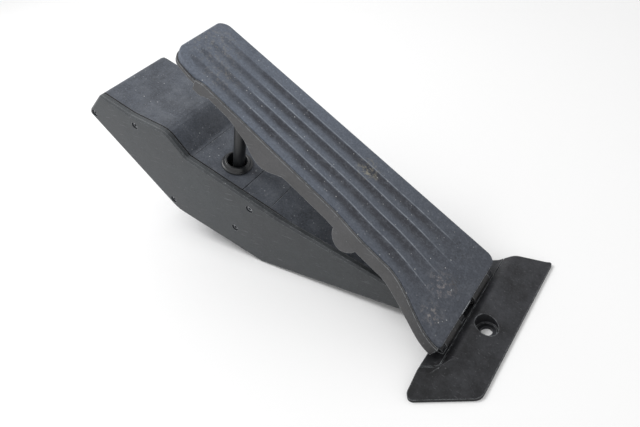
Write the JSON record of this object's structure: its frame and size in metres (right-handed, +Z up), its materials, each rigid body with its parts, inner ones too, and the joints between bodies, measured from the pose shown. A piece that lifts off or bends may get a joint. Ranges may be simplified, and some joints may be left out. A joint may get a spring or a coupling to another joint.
{
  "type": "accelerator pedal",
  "caption": "Floor-hinged accelerator pedal with a ribbed rubber pad, a push rod and a black plastic sensor housing.",
  "frame": {"origin": "where the axis of the fixing hole in the foot plate meets the floor", "axes": "+X runs from the housing towards the driver's heel, +Y away from the side cover, +Z up"},
  "size_m": [0.2996, 0.1213, 0.146],
  "materials": {
    "housing_plastic": "fine-textured moulded black nylon, dusty",
    "cover_plastic": "fine-textured moulded black nylon, scratched",
    "screw_steel": "zinc-plated and dulled",
    "plain_steel": "ground",
    "spring_steel": "drawn wire",
    "grommet_rubber": "smooth satin rubber",
    "seal_rubber": "smooth",
    "pad_rubber": "matte, dusty and scuffed",
    "carrier_plastic": "moulded glass-filled nylon, dusty",
    "foot_plastic": "moulded, worn",
    "rod_plastic": "smooth moulded acetal",
    "lever_plastic": "smooth moulded nylon",
    "friction_plastic": "natural acetal",
    "bush_bronze": "sintered bronze",
    "magnet": "bonded ferrite",
    "board": "green lacquered board",
    "chip": "moulded epoxy",
    "contact_metal": "gold-flashed"
  },
  "bodies": {
    "base": {"housing": "housing_plastic", "side_cover": "cover_plastic", "cover_screws": "screw_steel", "grommet_plate": "housing_plastic", "blank_plate": "housing_plastic", "grommet": "grommet_rubber", "axle": "plain_steel", "return_spring_outer": "spring_steel", "return_spring_inner": "spring_steel", "friction_block": "friction_plastic", "friction_spring": "spring_steel", "circuit_board": "board", "hall_sensors": "chip", "board_screws": "screw_steel", "connector": "lever_plastic", "contact_pins": "contact_metal", "connector_seal": "seal_rubber", "hinge_block": "foot_plastic", "hinge_pin": "plain_steel", "foot_plate": "foot_plastic", "foot_sleeve": "plain_steel", "foot_screws": "screw_steel", "stop_buffer": "pad_rubber"},
    "pedal": {"pedal_carrier": "carrier_plastic", "pedal_pad": "pad_rubber", "rod_socket": "rod_plastic"},
    "rod": {"push_rod": "rod_plastic"},
    "lever": {"inner_lever": "lever_plastic", "axle_bushes": "bush_bronze", "magnet_ring": "magnet"}
  },
  "joints": [
    {"name": "pedal_hinge", "type": "hinge", "parent": "base", "child": "pedal", "pos_m": [-0.0155, 0, 0.007], "axis": [0, -1, 0], "range_deg": [0, 11.5], "stiffness_Nm_per_rad": 6, "springref_deg": -20.05},
    {"name": "rod_ball", "type": "hinge", "parent": "pedal", "child": "rod", "pos_m": [-0.15148, 0.009, 0.11098], "axis": [0, -1, 0], "range_deg": [-2.5, 0.5]},
    {"name": "lever_axle", "type": "hinge", "parent": "base", "child": "lever", "pos_m": [-0.101, 0, 0.02], "axis": [0, -1, 0], "range_deg": [-0.5, 24.5], "deforming": ["return_spring_outer", "return_spring_inner"]}
  ],
  "couplings": [
    {"joint": "rod_ball", "follows": "pedal_hinge", "ratio": -0.1499},
    {"joint": "lever_axle", "follows": "pedal_hinge", "ratio": 2.0525}
  ]
}
